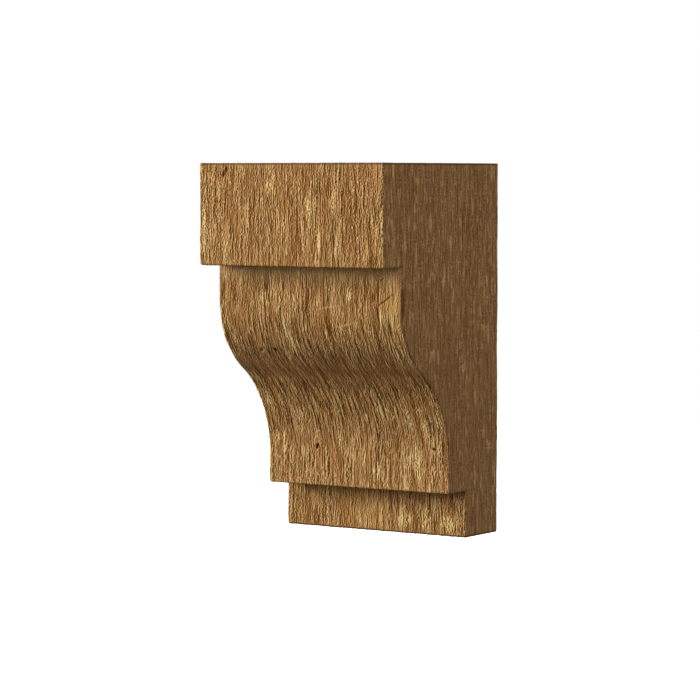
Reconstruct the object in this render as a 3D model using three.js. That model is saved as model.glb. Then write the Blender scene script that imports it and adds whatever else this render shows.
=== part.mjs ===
// Beam corbel: a moulded faux-timber bracket that carries the end of a ceiling beam where it meets the wall.
// It is one piece with one outline from side to side: a square cap under the beam, an ogee that swells out
// and sweeps in below it, a lip, and a back plate that runs on down the wall.
// Millimetres, +Z up. The origin is the middle of the flat back, which bears on the wall at Y = 0.
// The front looks along -Y, and X runs across the width.

import * as THREE from "three";

// Overall size
const WIDTH = 206.5;
const HEIGHT = 356;

// How far each stage of the outline stands out from the wall, from the top down
const CAP_DEPTH = 203.5;
const NECK_DEPTH = 173;
const LIP_DEPTH = 90;
const PLATE_DEPTH = 58.5;

// Where the stages change, measured down from the top
const CAP_DROP = 96;
const BELLY_DROP = 127.5;
const LIP_DROP = 311.5;

// The ogee is two arcs that meet on one tangent: a round belly, then a hollow
const BELLY_RADIUS = 83;
const HOLLOW_RADIUS = 102;

// Softened edges: the corners of the outline, and the arrises along both sides
const CORNER_RADIUS = 2;
const ARRIS_RADIUS = 1.5;

// How finely the arcs of the outline and the rounded arrises are stepped
const ARC_STEPS = 8;
const ARRIS_STEPS = 3;

const STAIN = { color: 0x9a7346, roughness: 0.85, metalness: 0 };

const QUARTER = Math.PI / 2;
const TOP = HEIGHT / 2;

// Rounds a corner of the outline that sticks out at (depth, height), on the way down the front.
// It turns from the front to the level face under it, or from the level face above it to the front.
function frontCorner(outline, depth, height, goesUnder) {
  const side = goesUnder ? 1 : -1;
  const start = goesUnder ? 0 : QUARTER;
  const end = goesUnder ? -QUARTER : 0;
  outline.absarc(depth - CORNER_RADIUS, height + side * CORNER_RADIUS, CORNER_RADIUS, start, end, true);
}

// The ogee from the straight neck down to the straight front of the lip.
// The two arcs turn through the same angle, which follows from how far the ogee comes in.
function ogee(outline) {
  const comesIn = NECK_DEPTH - LIP_DEPTH;
  const angle = Math.acos(1 - comesIn / (BELLY_RADIUS + HOLLOW_RADIUS));
  const bellyHeight = TOP - BELLY_DROP;
  const hollowHeight = bellyHeight - (BELLY_RADIUS + HOLLOW_RADIUS) * Math.sin(angle);
  outline.absarc(NECK_DEPTH - BELLY_RADIUS, bellyHeight, BELLY_RADIUS, 0, -angle, true);
  outline.absarc(LIP_DEPTH + HOLLOW_RADIUS, hollowHeight, HOLLOW_RADIUS, Math.PI - angle, Math.PI, false);
}

// The outline seen from the side: depth out from the wall across the page, height up it.
function corbelOutline() {
  const capUnderside = TOP - CAP_DROP;
  const lipUnderside = TOP - LIP_DROP;
  const outline = new THREE.Shape();
  outline.moveTo(0, -TOP);
  outline.lineTo(0, TOP);
  frontCorner(outline, CAP_DEPTH, TOP, false);
  frontCorner(outline, CAP_DEPTH, capUnderside, true);
  outline.lineTo(NECK_DEPTH, capUnderside);
  ogee(outline);
  frontCorner(outline, LIP_DEPTH, lipUnderside, true);
  outline.lineTo(PLATE_DEPTH, lipUnderside);
  frontCorner(outline, PLATE_DEPTH, -TOP, true);
  outline.closePath();
  return outline;
}

// The whole corbel: the outline drawn out across the width, with both side arrises rounded.
function corbel() {
  const geometry = new THREE.ExtrudeGeometry(corbelOutline(), {
    depth: WIDTH - 2 * ARRIS_RADIUS,
    steps: 1,
    curveSegments: ARC_STEPS,
    bevelEnabled: true,
    bevelThickness: ARRIS_RADIUS,
    bevelSize: ARRIS_RADIUS,
    bevelOffset: -ARRIS_RADIUS,
    bevelSegments: ARRIS_STEPS,
  });
  geometry.translate(0, 0, ARRIS_RADIUS - WIDTH / 2);
  const mesh = new THREE.Mesh(geometry, new THREE.MeshStandardMaterial(STAIN));
  mesh.name = "corbel";
  // Depth turns to -Y, height to +Z, and the width to X
  mesh.rotation.set(QUARTER, 0, -QUARTER, "ZYX");
  return mesh;
}

const part = new THREE.Group();
part.add(corbel());

export default part;
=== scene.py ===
import math
from typing import NamedTuple

import bmesh
import bpy
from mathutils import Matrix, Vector, kdtree, noise
from mathutils.geometry import intersect_point_line


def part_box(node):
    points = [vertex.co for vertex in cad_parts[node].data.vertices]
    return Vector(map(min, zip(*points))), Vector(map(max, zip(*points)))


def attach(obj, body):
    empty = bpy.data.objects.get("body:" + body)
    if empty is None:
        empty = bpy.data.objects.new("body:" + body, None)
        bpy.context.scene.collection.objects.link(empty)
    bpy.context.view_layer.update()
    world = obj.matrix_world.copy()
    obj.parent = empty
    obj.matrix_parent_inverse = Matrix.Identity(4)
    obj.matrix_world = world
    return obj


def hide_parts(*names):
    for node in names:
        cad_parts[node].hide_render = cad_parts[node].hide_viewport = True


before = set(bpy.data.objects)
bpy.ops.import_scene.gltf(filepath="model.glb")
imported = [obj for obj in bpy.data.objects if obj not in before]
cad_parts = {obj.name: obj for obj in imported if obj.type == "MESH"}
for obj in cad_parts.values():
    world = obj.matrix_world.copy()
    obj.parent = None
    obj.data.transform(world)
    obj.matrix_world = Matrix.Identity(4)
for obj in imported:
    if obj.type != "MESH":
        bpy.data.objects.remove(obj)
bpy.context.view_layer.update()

# The corbel
# One piece of rigid foam, cast in a mould taken from weathered timber, so the grain runs on over the ogee
# with no joint and no end grain. It is stained by hand, and its flat back is glued and screwed to the wall.

low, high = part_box("corbel")
WIDTH = high.x - low.x
TOP = high.z
BOTTOM = low.z
CAP_DEPTH = -low.y
NECK_DEPTH = 0.173
LIP_DEPTH = 0.090
PLATE_DEPTH = 0.0585
CAP_DROP = 0.096
BELLY_DROP = 0.1275
LIP_DROP = 0.3115
BELLY_RADIUS = 0.083
HOLLOW_RADIUS = 0.102
CORNER_RADIUS = 0.002
CORNER_TURN = math.radians(90)
ARRIS = 0.0015
ARRIS_STEPS = 2

# How close the rows and columns of the skin stand: close across the grain, wider along it
GRAIN_ROW = 0.0027
CORNER_ROW = 0.0012
PLAIN_ROW = 0.020
GRAIN_COLUMN = 0.00057
SIDE_ROW = 0.006
SIDE_COLUMN = 0.0012
RAW_STEP = 0.0013

# The outline seen from the side, walked from the foot of the back, up the wall and down the front
block = bmesh.new()
walk = [block.verts.new((low.x, 0, BOTTOM))]


def run_to(depth, height, row):
    """Draws the outline straight on to a point, in even steps of about one row."""
    start = walk[-1].co.copy()
    end = Vector((low.x, -depth, height))
    steps = max(1, round((end - start).length / row))
    for step in range(1, steps + 1):
        walk.extend(bmesh.ops.extrude_vert_indiv(block, verts=[walk[-1]])["verts"])
        walk[-1].co = start.lerp(end, step / steps)


def sweep(depth, height, angle, row):
    """Draws the outline on round an arc about a point, in even steps of about one row."""
    centre = Vector((low.x, -depth, height))
    steps = max(1, round(abs(angle) * (walk[-1].co - centre).length / row))
    for _ in range(steps):
        turned = bmesh.ops.spin(
            block, geom=[walk[-1]], cent=centre, axis=(1, 0, 0), angle=angle / steps, steps=1
        )
        walk.extend(part for part in turned["geom_last"] if isinstance(part, bmesh.types.BMVert))


def front_corner(depth, height, falls):
    """Rounds a corner that sticks out: over the top edge, or under a lower one."""
    sweep(depth - CORNER_RADIUS, height + falls * CORNER_RADIUS, CORNER_TURN, CORNER_ROW)


cap_underside = TOP - CAP_DROP
lip_underside = TOP - LIP_DROP
ogee_angle = math.acos(1 - (NECK_DEPTH - LIP_DEPTH) / (BELLY_RADIUS + HOLLOW_RADIUS))
belly_height = TOP - BELLY_DROP
hollow_height = belly_height - (BELLY_RADIUS + HOLLOW_RADIUS) * math.sin(ogee_angle)

run_to(0, TOP, PLAIN_ROW)
run_to(CAP_DEPTH - CORNER_RADIUS, TOP, PLAIN_ROW)
front_starts = len(walk) - 1
front_corner(CAP_DEPTH, TOP, -1)
run_to(CAP_DEPTH, cap_underside + CORNER_RADIUS, GRAIN_ROW)
front_corner(CAP_DEPTH, cap_underside, 1)
run_to(NECK_DEPTH, cap_underside, GRAIN_ROW)
run_to(NECK_DEPTH, belly_height, GRAIN_ROW)
sweep(NECK_DEPTH - BELLY_RADIUS, belly_height, ogee_angle, GRAIN_ROW)
sweep(LIP_DEPTH + HOLLOW_RADIUS, hollow_height, -ogee_angle, GRAIN_ROW)
run_to(LIP_DEPTH, lip_underside + CORNER_RADIUS, GRAIN_ROW)
front_corner(LIP_DEPTH, lip_underside, 1)
run_to(PLATE_DEPTH, lip_underside, GRAIN_ROW)
run_to(PLATE_DEPTH, BOTTOM + CORNER_RADIUS, GRAIN_ROW)
front_corner(PLATE_DEPTH, BOTTOM, 1)
front_ends = len(walk) - 1
run_to(0, BOTTOM, PLAIN_ROW)

# How far along the outline each of its points lies, counted down the front from its top edge
trail = [vert.co.copy() for vert in walk]
walked = [0.0]
for before, after in zip(trail, trail[1:]):
    walked.append(walked[-1] + (after - before).length)
along_trail = [length - walked[front_starts] for length in walked]
FRONT_LENGTH = along_trail[front_ends]
nearest_on_trail = kdtree.KDTree(len(trail))
for place, point in enumerate(trail):
    nearest_on_trail.insert(point, place)
nearest_on_trail.balance()


def along_front(point):
    """How far down the front a place lies; less than nothing on the top, and past the end underneath."""
    point = Vector((low.x, point.y, point.z))
    place = nearest_on_trail.find(point)[1]
    found = []
    for start in (place - 1, place):
        if 0 <= start < len(trail) - 1:
            share = intersect_point_line(point, trail[start], trail[start + 1])[1]
            share = min(max(share, 0), 1)
            away = (trail[start].lerp(trail[start + 1], share) - point).length
            along = along_trail[start] + share * (along_trail[start + 1] - along_trail[start])
            found.append((away, along))
    return min(found)[1]


# The block: the outline drawn out across the width, with rounded arrises and a skin in rows and columns
WELD = 1e-6
bmesh.ops.remove_doubles(block, verts=block.verts, dist=WELD)
outline = bmesh.ops.edgeloop_fill(block, edges=block.edges)["faces"]
drawn = bmesh.ops.extrude_face_region(block, geom=outline, use_keep_orig=True)["geom"]
far_side = [part for part in drawn if isinstance(part, bmesh.types.BMVert)]
bmesh.ops.translate(block, vec=(WIDTH, 0, 0), verts=far_side)
bmesh.ops.recalc_face_normals(block, faces=block.faces)


def runs_across(edge):
    """Tells whether an edge runs across the width, from side to side."""
    return abs(edge.verts[0].co.x - edge.verts[1].co.x) > WIDTH / 2


arrises = [edge for edge in block.edges if not runs_across(edge)]
bmesh.ops.bevel(
    block, geom=arrises, offset=ARRIS, segments=ARRIS_STEPS, profile=0.5, affect="EDGES", material=-1
)


def with_rims(faces):
    """Some faces together with their edges and corners."""
    rims = dict.fromkeys(part for face in faces for part in (*face.verts, *face.edges))
    return [*rims, *faces]


SLICE_SNAP = 1e-4


def slice_up(skin_part, way, step, start, end):
    """Parts some of the skin by even cuts square to a way, and gives back what it became."""
    for turn in range(1, round((end - start) / step)):
        place = (start + turn * step) * Vector(way)
        skin_part = bmesh.ops.bisect_plane(
            block, geom=skin_part, dist=SLICE_SNAP, plane_co=place, plane_no=way
        )["geom"]
    return skin_part


# The arrises of the back and the top were never smoothed: they are raw along their outer halves
RAW_WIDTH = 0.4 * ARRIS
RAW_DEPTH = 0.9 * ARRIS


def on_raw_arris(point):
    """Tells whether a place lies on the outer half of an arris of the back or the top."""
    return abs(point.x) > WIDTH / 2 - RAW_WIDTH and max(point.y, point.z - TOP) > -RAW_DEPTH


# No face but the two sides is larger than this
SIDE_AREA = 0.02
sides = with_rims([face for face in block.faces if face.calc_area() > SIDE_AREA])
raw_arrises = with_rims([face for face in block.faces if on_raw_arris(face.calc_center_median())])
sides = slice_up(sides, (0, 1, 0), SIDE_COLUMN, -CAP_DEPTH, 0)
slice_up(sides, (0, 0, 1), SIDE_ROW, BOTTOM, TOP)
raw_arrises = slice_up(raw_arrises, (0, 1, 0), RAW_STEP, -CAP_DEPTH, 0)
slice_up(raw_arrises, (0, 0, 1), RAW_STEP, BOTTOM, TOP)

spans = [edge for edge in block.edges if runs_across(edge)]
columns = round(WIDTH / GRAIN_COLUMN)
bmesh.ops.subdivide_edges(block, edges=spans, cuts=columns - 1, use_grid_fill=True)


class Mark(NamedTuple):
    """An oval mark on the skin: its middle, its half sizes, and the degrees its foot leans to the left."""

    across: float
    along: float
    half_width: float
    half_length: float
    lean: float = 0.0

    def grown(self, clearance):
        """The same mark, larger by a clearance all round."""
        return self._replace(
            half_width=self.half_width + clearance, half_length=self.half_length + clearance
        )

    def fullness(self, across, along):
        """How fully a place lies in the mark: one over its inner half, then down to nought at its rim."""
        aside = across - self.across
        down = along - self.along
        turn = math.radians(self.lean)
        wide = (aside * math.cos(turn) + down * math.sin(turn)) / self.half_width
        long = (down * math.cos(turn) - aside * math.sin(turn)) / self.half_length
        return min(1, max(0, 2 * (1 - math.hypot(wide, long))))


# Worm holes, torn-out splinters and cracks. The skin is parted more closely there, so they can be sunk in.
HOLES = (
    Mark(-0.0485, 0.2106, 0.0023, 0.0026),
    Mark(-0.0645, 0.2110, 0.0017, 0.0022),
    Mark(-0.0455, 0.3317, 0.0014, 0.0036, lean=20),
    Mark(0.0875, 0.3284, 0.0013, 0.0017),
)
CRACKS = (
    Mark(-0.0725, 0.0073, 0.0015, 0.0038, lean=16),
    Mark(-0.0752, 0.0119, 0.0014, 0.0036, lean=16),
    Mark(0.0852, 0.1570, 0.0007, 0.0140, lean=56),
    Mark(0.0827, 0.1372, 0.0007, 0.0040, lean=67),
    Mark(0.0772, 0.1700, 0.0008, 0.0100, lean=-4),
    Mark(0.0880, 0.1800, 0.0006, 0.0110, lean=-3),
    Mark(0.0950, 0.1760, 0.0006, 0.0080, lean=2),
    Mark(0.0865, 0.3390, 0.0006, 0.0070, lean=4),
)
HOLE_DEPTH = 0.0017
CRACK_DEPTH = 0.0011
DENT_CLEARANCE = 0.0020
DENT_CUTS = 3


def runs_along(edge):
    """Tells whether an edge runs along the grain, and not across it."""
    return abs(edge.verts[0].co.x - edge.verts[1].co.x) < GRAIN_COLUMN / 2


def near_dent(edge):
    """Tells whether the middle of an edge lies in a hole or crack of the front, or close around it."""
    middle = (edge.verts[0].co + edge.verts[1].co) / 2
    if middle.y > -PLATE_DEPTH / 2:
        return False
    along = along_front(middle)
    return any(mark.grown(DENT_CLEARANCE).fullness(middle.x, along) > 0 for mark in HOLES + CRACKS)


closer = [edge for edge in block.edges if runs_along(edge) and near_dent(edge)]
bmesh.ops.subdivide_edges(block, edges=closer, cuts=DENT_CUTS, use_grid_fill=True)

SHARP = math.radians(50)
for edge in block.edges:
    edge.smooth = edge.calc_face_angle(0) < SHARP
for face in block.faces:
    face.smooth = True

# The grain in relief: narrow wavering ridges along the timber, torn by short splinters and worn in places.
# The front and each side are boards of their own, and every draw of the noise is another pattern.
FRONT_BOARD = 1.5
SIDE_BOARDS = {1: 21.5, -1: 41.5}
RIDGE_PITCH = 0.0016
RIDGE_LENGTH = 0.031
RIDGE_HEIGHT = 0.00047
RIDGE_CREST = 1.8
SPLINTER_PITCH = 0.0013
SPLINTER_LENGTH = 0.011
SPLINTER_HEIGHT = 0.00032
SPLINTER_DRAW = 5.9
SWAY = 0.0006
SIDE_SWAY = 0.0004
SWAY_ACROSS = 0.020
SWAY_ALONG = 0.028
WORN_ACROSS = 0.007
WORN_ALONG = 0.030
WORN_DRAW = 8.3
WORN_LEAST = 0.55
WORN_MOST = 1.30

# The sides are calmer: their ridges are lower, and this much broader than those of the front
SIDE_RELIEF = 0.7
SIDE_COARSE = 1.7

# The top and the underside have little relief, which fades in over a short way, and the back lies flush
PLAIN_RELIEF = 0.3
FADE = 0.008
FLUSH = 0.0025

# A strip at the right of the neck where a flake came away and left broad, pale ridges
FLAKE = Mark(0.0960, 0.1740, 0.0240, 0.0500)
FLAKE_PITCH = 0.0026
FLAKE_HEIGHT = 0.00085
FLAKE_DRAW = 2.2
FLAKE_FINE = 0.85

# Where the mould was worn or deep, the grain came out lower or higher, by this share of its height
UNEVEN = (
    (Mark(-0.0080, 0.4180, 0.0480, 0.0330), 0.65),
    (Mark(0.0, 0.3320, 0.3000, 0.0900), 1.25),
    (Mark(0.0, 0.1980, 0.3000, 0.0300), 1.25),
    (Mark(0.0, 0.2400, 0.3000, 0.0220), 0.60),
)

# Small chips knocked off the raw arrises, other ones on each side
CHIP_LENGTH = 0.0024
CHIP_DEPTH = 0.0018
CHIP_CHANGE = 9
CHIP_DRAW = 0.5

# The edges across the front, which are handled most: the relief is rubbed down close to them
RUBBED_EDGES = (
    (CAP_DEPTH, TOP),
    (CAP_DEPTH, cap_underside),
    (LIP_DEPTH, lip_underside),
    (PLATE_DEPTH, BOTTOM),
)
RUBBED_RELIEF = 0.35
RUBBED_WIDTH = 0.005


def swayed(across, along, board):
    """Where a place lies across the grain, once the wavering of the grain is taken out."""
    sway = SWAY if board == FRONT_BOARD else SIDE_SWAY
    return across + sway * noise.noise((across / SWAY_ACROSS, along / SWAY_ALONG, board))


def grain_height(across, along, board):
    """How far the grain stands proud at a place on one of the boards."""
    line = swayed(across, along, board)
    ridge = math.tanh(RIDGE_CREST * noise.noise((line / RIDGE_PITCH, along / RIDGE_LENGTH, board)))
    splinter = noise.noise((line / SPLINTER_PITCH, along / SPLINTER_LENGTH, board + SPLINTER_DRAW))
    sound = 0.5 + noise.noise((across / WORN_ACROSS, along / WORN_ALONG, board + WORN_DRAW))
    kept = WORN_LEAST + (WORN_MOST - WORN_LEAST) * min(max(sound, 0), 1)
    return kept * (RIDGE_HEIGHT * ridge + SPLINTER_HEIGHT * splinter)


def unevenness(across, along):
    """How much of its height the grain keeps at a place on the front."""
    kept = 1.0
    for mark, share_kept in UNEVEN:
        kept *= 1 + (share_kept - 1) * mark.fullness(across, along)
    return kept


def chip(point):
    """How deep a chip goes at a place on the skin: nought away from the raw arrises."""
    if not on_raw_arris(point):
        return 0.0
    around = ((point.z - point.y) / CHIP_LENGTH, CHIP_CHANGE * point.x, CHIP_DRAW)
    return CHIP_DEPTH * max(0, noise.noise(around))


def deepest(marks, across, along):
    """How deep a place lies in one of the marks: nought on their rims and outside, one in their middles."""
    return max(mark.fullness(across, along) for mark in marks)


def front_height(across, along):
    """The relief of the front: the grain, with the flake's broad ridges, holes and cracks set into it."""
    raised = grain_height(across, along, FRONT_BOARD)
    flaked = FLAKE.fullness(across, along)
    if flaked > 0:
        line = swayed(across, along, FRONT_BOARD)
        broad = noise.noise((line / FLAKE_PITCH, along / RIDGE_LENGTH, FRONT_BOARD + FLAKE_DRAW))
        raised += flaked * (FLAKE_HEIGHT * broad - (1 - FLAKE_FINE) * raised)
    raised *= unevenness(across, along)
    hole = HOLE_DEPTH * deepest(HOLES, across, along)
    crack = CRACK_DEPTH * deepest(CRACKS, across, along)
    return raised - max(hole, crack)


# How squarely a face looks left or right to count as a side, and a vertex on the back's edge to go with it
SIDE_FACING = 0.9
EDGE_FACING = 0.3


def on_side(normal):
    """Tells whether a place faces straight out to the left or right."""
    return abs(normal.x) > SIDE_FACING


def takes_side_grain(vert):
    """Tells whether a vertex lies on a side, or on the side's own edge along the back."""
    return on_side(vert.normal) or (vert.co.y > -FLUSH and abs(vert.normal.x) > EDGE_FACING)


def relief_share(along, point):
    """How much of the relief a place takes: all on the front, little on top and below, none on the back."""
    if point.y > -FLUSH:
        return 0.0
    beyond = max(-along, along - FRONT_LENGTH, 0)
    away = min(math.hypot(-point.y - out, point.z - up) for out, up in RUBBED_EDGES)
    rubbed = RUBBED_RELIEF + (1 - RUBBED_RELIEF) * min(1, away / RUBBED_WIDTH)
    return max(PLAIN_RELIEF, rubbed - beyond / FADE)


# The skin is raised once every vertex is looked at, so that the relief of one doesn't shift the next
block.normal_update()
block.verts.index_update()
relief_layer = block.verts.layers.float.new("relief")
depth_layer = block.verts.layers.float.new("depth")
downs = []
moves = []
for vert in block.verts:
    along = along_front(vert.co)
    hand = 1 if vert.co.x > 0 else -1
    if takes_side_grain(vert):
        fibre_depth = SIDE_RELIEF
        raised = SIDE_RELIEF * grain_height(-vert.co.y / SIDE_COARSE, -vert.co.z, SIDE_BOARDS[hand])
        outward = Vector((hand, 0, 0))
    else:
        taken = relief_share(along, vert.co)
        fibre_depth = max(taken, PLAIN_RELIEF) * unevenness(vert.co.x, along)
        fibre_depth *= 1 - (1 - FLAKE_FINE) * FLAKE.fullness(vert.co.x, along)
        raised = taken * front_height(vert.co.x, along)
        outward = vert.normal
    vert[relief_layer] = raised / RIDGE_HEIGHT
    vert[depth_layer] = fibre_depth
    downs.append(along)
    moves.append(outward * (raised - chip(vert.co)))

# The plan that the stain is painted on: across the wavering grain and along it, in metres.
# The front lies around the middle, and the sides and the back have patches of their own, away from it.
RIGHT_PATCH = 1.0
LEFT_PATCH = -1.0
BACK_PATCH = -1.0
BACK_FACING = 0.5
plan = block.loops.layers.uv.new("grain")
for face in block.faces:
    hand = 1 if face.normal.x > 0 else -1
    patch = RIGHT_PATCH if hand > 0 else LEFT_PATCH
    for corner in face.loops:
        point = corner.vert.co
        if on_side(face.normal):
            corner[plan].uv = (patch + swayed(-point.y, -point.z, SIDE_BOARDS[hand]), -point.z)
        elif face.normal.y > BACK_FACING:
            corner[plan].uv = (swayed(point.x, point.z, FRONT_BOARD), BACK_PATCH + point.z)
        else:
            along = downs[corner.vert.index]
            corner[plan].uv = (swayed(point.x, along, FRONT_BOARD), along)

for vert, move in zip(block.verts, moves):
    vert.co += move

skin = bpy.data.meshes.new("corbel_skin")
block.to_mesh(skin)
block.free()
corbel = bpy.data.objects.new("corbel_skin", skin)
bpy.context.scene.collection.objects.link(corbel)

# The stain: brown wiped over a dark base coat, which still shows on the hidden faces. The grooves are dark
# brown, partly stain left in them and partly painted shade.
BASE_AND_EDGE_SHADE_BROWN = (0.085, 0.045, 0.019, 1)
GROOVE_BROWN = (0.122, 0.042, 0.0040, 1)
STAIN_BROWN = (0.350, 0.168, 0.047, 1)
RIDGE_TAN = (0.640, 0.388, 0.160, 1)
GOLDEN = (0.800, 0.570, 0.220, 1)
RED_BROWN = (0.325, 0.132, 0.032, 1)
SIDE_BROWN = (0.200, 0.090, 0.029, 1)
SIDE_TAN = (0.430, 0.220, 0.081, 1)
SIDE_PALE = (0.680, 0.430, 0.165, 1)
FLAKE_BROWN = (0.580, 0.350, 0.120, 1)
# Painted shade, for the turn of the ogee, under the lip and the lower halves of the sides
PAINTED_SHADE_BROWN = (0.225, 0.120, 0.050, 1)
HOLE_BROWN = (0.080, 0.036, 0.012, 1)
GROOVE_ROUGHNESS = 0.92
CREST_ROUGHNESS = 0.68
SHEEN = 0.11


class Streak(NamedTuple):
    """Marks drawn out along the grain: their width and length, and which draw of the noise they take."""

    width: float
    length: float
    draw: float


# Fibres and grit finer than the mesh, on the front and on the sides, and the larger streaks of colour
FIBRES = Streak(0.00100, 0.0085, 3.1)
GRIT = Streak(0.00125, 0.0016, 31.4)
FIBRE_STEP = 0.0010
GRIT_SHARE = 0.92
SIDE_LINES = Streak(0.0013, 0.012, 23.7)
SIDE_LINE_STEP = 0.0013
LONG_SIDE_LINES = Streak(0.0017, 0.031, 61.6)
SIDE_GRIT = Streak(0.0012, 0.0022, 27.1)
SIDE_GRIT_SHARE = 1.1
FINE_HEIGHT = 0.00080
REDS = Streak(0.012, 0.040, 15.2)
GOLDS = Streak(0.006, 0.017, 7.7)
PALE_LINES = Streak(0.0012, 0.070, 47.3)
RUBS = Streak(0.0047, 0.0088, 52.9)

# Pale patches where the stain wore through on the front, and pale strips along its two arrises that are
# painted highlights
PALE_PATCHES = (
    Mark(0.0202, 0.0392, 0.0090, 0.0050, lean=70),
    Mark(0.0320, 0.0716, 0.0040, 0.0170, lean=-6),
    Mark(-0.0990, 0.0586, 0.0050, 0.0350),
    Mark(-0.0230, 0.0226, 0.0035, 0.0090),
    Mark(-0.0490, 0.1575, 0.0100, 0.0110),
    Mark(-0.0185, 0.1605, 0.0045, 0.0110),
    Mark(0.0448, 0.1523, 0.0050, 0.0110),
    Mark(-0.0268, 0.1944, 0.0040, 0.0260, lean=-8),
    Mark(0.0668, 0.3388, 0.0055, 0.0180),
    Mark(0.0228, 0.3528, 0.0070, 0.0100),
    Mark(0.0415, 0.2917, 0.0035, 0.0100),
    Mark(0.0970, 0.3010, 0.0040, 0.0170),
    Mark(-0.0850, 0.3284, 0.0040, 0.0160),
    Mark(0.0345, 0.4319, 0.0130, 0.0100),
    Mark(0.0562, 0.4300, 0.0100, 0.0150),
    Mark(0.0832, 0.4330, 0.0120, 0.0100),
    Mark(0.0080, 0.4248, 0.0030, 0.0220),
    Mark(0.0802, 0.1731, 0.0030, 0.0120),
    Mark(0.0918, 0.1766, 0.0030, 0.0140),
    # Painted highlights: pale strips on the left arris and on the right arris of the cap
    Mark(-0.1025, 0.2200, 0.0022, 2.0),
    Mark(0.1025, 0.0480, 0.0030, 0.0560),
)

# Pale strokes on the right side, where across is counted out from the wall
SIDE_STROKES = (
    Mark(RIGHT_PATCH + 0.1290, 0.0000, 0.0014, 0.0060),
    Mark(RIGHT_PATCH + 0.1225, 0.0010, 0.0018, 0.0075),
    Mark(RIGHT_PATCH + 0.1165, 0.0012, 0.0014, 0.0080),
    Mark(RIGHT_PATCH + 0.1095, 0.0030, 0.0020, 0.0090),
    Mark(RIGHT_PATCH + 0.0250, -0.0190, 0.0014, 0.0100),
    Mark(RIGHT_PATCH + 0.0185, -0.0150, 0.0020, 0.0140),
    Mark(RIGHT_PATCH + 0.1480, -0.0930, 0.0014, 0.0130),
    Mark(RIGHT_PATCH + 0.0980, -0.0760, 0.0014, 0.0110),
)

# Painted light over the shade under the cap and on the lip, and painted shade in the turn of the ogee and
# under the lip
UNDER_CAP_LIGHT = (Mark(0.0, 0.1270, 0.40, 0.020),)
LIP_LIGHT = (Mark(0.0, 0.3450, 0.40, 0.055),)
OGEE_AND_LIP_SHADE = (
    Mark(-0.0300, 0.2240, 0.30, 0.0400),
    Mark(0.0, 0.4000, 0.40, 0.0110),
)

# The lower halves of both sides, darkened with painted shade towards the bottom
LOWER_SIDE_SHADE = (
    Mark(RIGHT_PATCH + 0.1000, 0.1000, 0.40, 0.1700),
    Mark(LEFT_PATCH + 0.1000, 0.1000, 0.40, 0.1700),
)

# Scratches across the neck, pale drips under the cap, and dark bruises by the flake and on the right side
SCRATCHES = (
    Mark(0.0237, 0.1645, 0.0013, 0.0200, lean=82),
    Mark(0.0404, 0.1810, 0.0014, 0.0170, lean=76),
    Mark(-0.0002, 0.1350, 0.0012, 0.0120),
    Mark(0.0398, 0.1342, 0.0042, 0.0090),
    Mark(0.0508, 0.1341, 0.0013, 0.0110),
    Mark(0.0712, 0.1383, 0.0014, 0.0150),
    Mark(0.0848, 0.1334, 0.0026, 0.0080),
)
BRUISES = (
    Mark(0.0722, 0.1545, 0.0024, 0.0050),
    Mark(RIGHT_PATCH + 0.1705, -0.0490, 0.0045, 0.0180),
)

stain = bpy.data.materials.new("stained_timber")
stain.use_nodes = True
stain_tree = stain.node_tree
stain_tree.nodes.clear()


def put(tree, kind, links=(), **settings):
    """Adds a node to a tree, with what feeds it by socket name and its plain settings."""
    node = tree.nodes.new(kind)
    for name, value in settings.items():
        setattr(node, name, value)
    for socket, source in dict(links).items():
        if isinstance(source, bpy.types.NodeSocket):
            tree.links.new(source, node.inputs[socket])
        else:
            node.inputs[socket].default_value = source
    return node


def reckon(operation, *values):
    """Works one value of the stain out from others."""
    return put(stain_tree, "ShaderNodeMath", enumerate(values), operation=operation).outputs["Value"]


def plus(first, second):
    """One value added to another."""
    return reckon("ADD", first, second)


def times(first, second):
    """One value times another."""
    return reckon("MULTIPLY", first, second)


def larger(first, second):
    """The larger of two values."""
    return reckon("MAXIMUM", first, second)


def between(value, none_at, full_at):
    """A mask that rises smoothly from nothing at one value to all at another."""
    ends = {"Value": value, "From Min": none_at, "From Max": full_at}
    return put(stain_tree, "ShaderNodeMapRange", ends, interpolation_type="SMOOTHSTEP").outputs["Result"]


place_on_plan = put(stain_tree, "ShaderNodeUVMap", uv_map="grain").outputs["UV"]
plan_across = put(stain_tree, "ShaderNodeSeparateXYZ", {"Vector": place_on_plan}).outputs["X"]
on_sides = between(reckon("ABSOLUTE", plan_across), none_at=0.4, full_at=0.6)


def streaks(streak, aside=0.0):
    """A noise drawn out along the grain, about nought, which may be moved aside across it."""
    scale = (1 / streak.width, 1 / streak.length, 1)
    start = (streak.draw + aside / streak.width, streak.draw, streak.draw)
    spread = {"Vector": place_on_plan, "Scale": scale, "Location": start}
    drawn_out = put(stain_tree, "ShaderNodeMapping", spread).outputs["Vector"]
    plain = {"Vector": drawn_out, "Scale": 1.0, "Detail": 0.0}
    strength = put(stain_tree, "ShaderNodeTexNoise", plain, noise_dimensions="3D").outputs["Fac"]
    return reckon("MULTIPLY_ADD", strength, 2.0, -1.0)


def crisp_streaks(streak, step):
    """Streaks less the same ones a step aside, which leaves no broad marks among them."""
    return reckon("SUBTRACT", streaks(streak), streaks(streak, aside=step))


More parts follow.
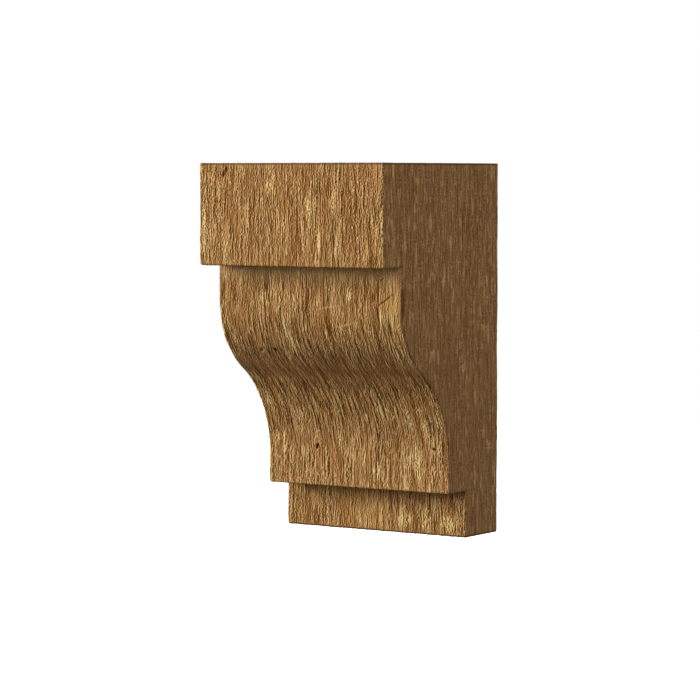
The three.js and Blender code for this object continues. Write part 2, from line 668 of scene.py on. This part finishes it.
def painted(marks, core):
    """A mask of oval marks, full inside the core share of each and fading out to its rim."""
    mask = 0.0
    for mark in marks:
        spread = {
            "Vector": place_on_plan,
            "Location": (mark.across, mark.along, 0),
            "Rotation": (0, 0, math.radians(mark.lean)),
            "Scale": (mark.half_width, mark.half_length, 1),
        }
        oval = put(stain_tree, "ShaderNodeMapping", spread, vector_type="TEXTURE").outputs["Vector"]
        away = put(stain_tree, "ShaderNodeVectorMath", {0: oval}, operation="LENGTH").outputs["Value"]
        mask = larger(between(away, none_at=1.0, full_at=core), mask)
    return mask


# The Mix node has sockets of the same names for numbers and for colours, so they go by their places
NUMBER_BELOW, NUMBER_ABOVE, NUMBER_OUT = 2, 3, 0
COLOUR_BELOW, COLOUR_ABOVE, COLOUR_OUT = 6, 7, 2


def over(below, paint, mask, strength=1.0):
    """Lays one colour over another where a mask says, at most by the given strength."""
    layers = {"Factor": times(mask, strength), COLOUR_BELOW: below, COLOUR_ABOVE: paint}
    return put(stain_tree, "ShaderNodeMix", layers, data_type="RGBA").outputs[COLOUR_OUT]


# The grain as the stain finds it: the ridges of the mesh, and the fibres and grit between them
ridges = put(stain_tree, "ShaderNodeAttribute", attribute_name="relief").outputs["Fac"]
cut_depth = put(stain_tree, "ShaderNodeAttribute", attribute_name="depth").outputs["Fac"]
front_grit = times(crisp_streaks(GRIT, FIBRE_STEP), GRIT_SHARE)
front_fine = plus(crisp_streaks(FIBRES, FIBRE_STEP), front_grit)
side_lines = plus(crisp_streaks(SIDE_LINES, SIDE_LINE_STEP), streaks(LONG_SIDE_LINES))
side_fine = plus(side_lines, times(streaks(SIDE_GRIT), SIDE_GRIT_SHARE))
either_fine = {"Factor": on_sides, NUMBER_BELOW: front_fine, NUMBER_ABOVE: side_fine}
fine_mix = put(stain_tree, "ShaderNodeMix", either_fine, data_type="FLOAT").outputs[NUMBER_OUT]
fine = times(fine_mix, cut_depth)

# How pale the stain is: dark in the grooves, partly with painted shade, pale on the crests, lighter on the
# lip with painted light, and darker with painted shade in the turn of the ogee and under the lip
FINE_TONE = 1.5
LIP_LIGHT_TONE = 0.35
SHADE_TONE = -0.14
lip_light = times(painted(LIP_LIGHT, core=0.1), LIP_LIGHT_TONE)
shade_darkening = times(painted(OGEE_AND_LIP_SHADE, core=0.1), SHADE_TONE)
tone = plus(plus(ridges, times(fine, FINE_TONE)), plus(lip_light, shade_darkening))

# The front, coat by coat
reddish = times(between(streaks(REDS), none_at=-0.05, full_at=0.35), cut_depth)
# Dark brown in the grooves, partly stain and partly painted shade, and pale tan on the crests
front = over(GROOVE_BROWN, STAIN_BROWN, between(tone, none_at=-1.1, full_at=0.05))
front = over(front, RIDGE_TAN, between(tone, none_at=-0.05, full_at=1.05))
front = over(front, RED_BROWN, reddish, strength=0.38)
front = over(front, FLAKE_BROWN, painted([FLAKE], core=0.2), strength=0.40)
# Painted light: pale tan laid over the shade under the cap
front = over(front, RIDGE_TAN, painted(UNDER_CAP_LIGHT, core=0.1), strength=0.55)
# Painted shade: darker brown in the turn of the ogee and under the lip
front = over(front, PAINTED_SHADE_BROWN, painted(OGEE_AND_LIP_SHADE, core=0.1), strength=0.30)

# The sides: a darker stain, rubbed through in long thin lines, with painted shade over their lower halves
SIDE_RIDGE_TONE = 0.3
side_tone = plus(times(ridges, SIDE_RIDGE_TONE), fine)
pale_lines = between(streaks(PALE_LINES), none_at=0.18, full_at=0.30)
rubbed_lines = times(pale_lines, between(streaks(RUBS), none_at=0.0, full_at=0.22))
rubbed_lines = larger(rubbed_lines, painted(SIDE_STROKES, core=0.6))
side = over(SIDE_BROWN, SIDE_TAN, between(side_tone, none_at=-0.85, full_at=0.85))
side = over(side, SIDE_PALE, rubbed_lines, strength=0.60)
# Painted shade: the lower halves of the sides darker
side = over(side, PAINTED_SHADE_BROWN, painted(LOWER_SIDE_SHADE, core=0.4), strength=0.30)

# Wear, painted highlights on the arrises, and marks on all of it
CRACK_SHARE = 0.45
GOLD_SHARE = 0.5
golden = times(between(streaks(GOLDS), none_at=0.25, full_at=0.50), GOLD_SHARE)
on_crests = times(between(tone, none_at=-0.5, full_at=0.5), cut_depth)
wear_and_highlights = times(larger(golden, painted(PALE_PATCHES, core=0.3)), on_crests)
sunk = larger(painted(HOLES, core=0.55), times(painted(CRACKS, core=0.2), CRACK_SHARE))
colour = over(front, side, on_sides)
colour = over(colour, GOLDEN, wear_and_highlights, strength=0.95)
colour = over(colour, RIDGE_TAN, painted(SCRATCHES, core=0.2), strength=0.75)
colour = over(colour, GROOVE_BROWN, painted(BRUISES, core=0.7), strength=0.75)
colour = over(colour, HOLE_BROWN, sunk)

# The base coat is left bare on the top, the back and the foot, and it runs on as a thin dark line at their
# edges, which is painted shade on the rounded arrises
BARE_AND_SHADE_DEPTH = 0.0014
BARE_AND_SHADE_FADE = 0.0012
object_place = put(stain_tree, "ShaderNodeTexCoord").outputs["Object"]
measured = put(stain_tree, "ShaderNodeSeparateXYZ", {"Vector": object_place}).outputs
bare_top_and_edge_shade = between(measured["Z"], none_at=TOP - BARE_AND_SHADE_DEPTH - BARE_AND_SHADE_FADE, full_at=TOP - BARE_AND_SHADE_DEPTH)
bare_back_and_edge_shade = between(measured["Y"], none_at=-BARE_AND_SHADE_DEPTH - BARE_AND_SHADE_FADE, full_at=-BARE_AND_SHADE_DEPTH)
bare_foot_and_edge_shade = between(measured["Z"], none_at=BOTTOM + BARE_AND_SHADE_DEPTH + BARE_AND_SHADE_FADE, full_at=BOTTOM + BARE_AND_SHADE_DEPTH)
bare_and_edge_shade = larger(larger(bare_top_and_edge_shade, bare_back_and_edge_shade), bare_foot_and_edge_shade)
colour = over(colour, BASE_AND_EDGE_SHADE_BROWN, bare_and_edge_shade, strength=0.7)

roughness_ends = {
    "Value": tone,
    "From Min": -1.0,
    "From Max": 1.0,
    "To Min": GROOVE_ROUGHNESS,
    "To Max": CREST_ROUGHNESS,
}
roughness = put(stain_tree, "ShaderNodeMapRange", roughness_ends).outputs["Result"]
raised_fine = {"Height": fine, "Strength": 1.0, "Distance": FINE_HEIGHT}
finish = {
    "Base Color": colour,
    "Roughness": roughness,
    "Normal": put(stain_tree, "ShaderNodeBump", raised_fine).outputs["Normal"],
    "Specular IOR Level": SHEEN,
}
surface = put(stain_tree, "ShaderNodeBsdfPrincipled", finish).outputs["BSDF"]
put(stain_tree, "ShaderNodeOutputMaterial", {"Surface": surface})
skin.materials.append(stain)

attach(corbel, "root")
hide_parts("corbel")

# The floor
# A flat sheet well below the corbel, bright enough to show as plain white, so that no shadow lies on it.
# It is there for the picture alone, and it throws no light back on the corbel.

FLOOR_DROP = 1.2
FLOOR_SIZE = 12.0
FLOOR_WHITE = (0.9, 0.9, 0.9, 1)
FLOOR_ROUGHNESS = 0.9
FLOOR_GLOW = (1, 1, 1, 1)
FLOOR_GLOW_STRENGTH = 1.0
sheet = bmesh.new()
bmesh.ops.create_grid(sheet, x_segments=1, y_segments=1, size=FLOOR_SIZE)
bmesh.ops.translate(sheet, vec=(0, 0, -FLOOR_DROP), verts=sheet.verts)
floor_mesh = bpy.data.meshes.new("floor")
sheet.to_mesh(floor_mesh)
sheet.free()
floor = bpy.data.objects.new("floor", floor_mesh)
bpy.context.scene.collection.objects.link(floor)
floor_paint = bpy.data.materials.new("floor_paint")
floor_paint.use_nodes = True
floor_shader = floor_paint.node_tree.nodes["Principled BSDF"]
floor_shader.inputs["Base Color"].default_value = FLOOR_WHITE
floor_shader.inputs["Roughness"].default_value = FLOOR_ROUGHNESS
floor_shader.inputs["Emission Color"].default_value = FLOOR_GLOW
floor_shader.inputs["Emission Strength"].default_value = FLOOR_GLOW_STRENGTH
floor_mesh.materials.append(floor_paint)
floor.visible_diffuse = False
floor.visible_glossy = False

# The light
# A white studio all round, dark below, and one large soft lamp to the left of the front, a little above it.
# The camera sees the room as plain white, whatever light it throws on the corbel.

# How strong the room's light is from straight below, at -1, to straight above, at 1
ROOM_LIGHT = ((-1.0, 0.04), (-0.50, 0.08), (-0.28, 0.30), (-0.12, 0.62), (0.0, 0.66), (1.0, 0.78))
ROOM_WHITE = (1, 1, 1, 1)
scene = bpy.context.scene
room = bpy.data.worlds.new("room")
room.use_nodes = True
room_tree = room.node_tree
room_tree.nodes.clear()
looks = put(room_tree, "ShaderNodeTexCoord").outputs["Generated"]
rise = put(room_tree, "ShaderNodeSeparateXYZ", {"Vector": looks}).outputs["Z"]
rise_ends = {"Value": rise, "From Min": -1.0, "From Max": 1.0}
rise_share = put(room_tree, "ShaderNodeMapRange", rise_ends).outputs["Result"]
shade = put(room_tree, "ShaderNodeValToRGB", {"Fac": rise_share})
stops = shade.color_ramp.elements
for rise_at, strength in ROOM_LIGHT:
    stop_place = (rise_at + 1) / 2
    there = [stop for stop in stops if stop.position == stop_place]
    stop = there[0] if there else stops.new(stop_place)
    stop.color = (strength, strength, strength, 1)
cast = put(room_tree, "ShaderNodeBackground", {"Color": shade.outputs["Color"]}).outputs["Background"]
seen = put(room_tree, "ShaderNodeBackground", {"Color": ROOM_WHITE}).outputs["Background"]
to_camera = put(room_tree, "ShaderNodeLightPath").outputs["Is Camera Ray"]
either = put(room_tree, "ShaderNodeMixShader", {"Fac": to_camera, 1: cast, 2: seen}).outputs["Shader"]
put(room_tree, "ShaderNodeOutputWorld", {"Surface": either})
scene.world = room

LAMP_LEFT = math.radians(50)
LAMP_RISE = math.radians(15)
LAMP_AWAY = 5.0
LAMP_SIZE = 2.35
LAMP_POWER = 297
lamp = bpy.data.lights.new("soft_lamp", "AREA")
lamp.shape = "DISK"
lamp.size = LAMP_SIZE
lamp.energy = LAMP_POWER
lamp_object = bpy.data.objects.new("soft_lamp", lamp)
to_lamp = Vector((
    -math.sin(LAMP_LEFT) * math.cos(LAMP_RISE),
    -math.cos(LAMP_LEFT) * math.cos(LAMP_RISE),
    math.sin(LAMP_RISE),
))
lamp_object.location = LAMP_AWAY * to_lamp
lamp_object.rotation_euler = (-to_lamp).to_track_quat("-Z", "Y").to_euler()
lamp_object.visible_camera = False
scene.collection.objects.link(lamp_object)
scene.view_settings.view_transform = "Standard"

# The camera
# A long lens, to the right of the front and level with the upper part of the cap.
# Its place, its aim and the lens were fitted to the edges of the corbel in the photo.

CAMERA_PLACE = Vector((1.5171, -2.3872, 0.1660))
CAMERA_AIM = Vector((-0.0145, -0.0806, -0.0015))
LENS = 147.97
SENSOR = 36.0
camera = bpy.data.cameras.new("camera")
camera.lens = LENS
camera.sensor_width = SENSOR
camera_object = bpy.data.objects.new("camera", camera)
camera_object.location = CAMERA_PLACE
camera_object.rotation_euler = (CAMERA_AIM - CAMERA_PLACE).to_track_quat("-Z", "Y").to_euler()
scene.collection.objects.link(camera_object)
scene.camera = camera_object
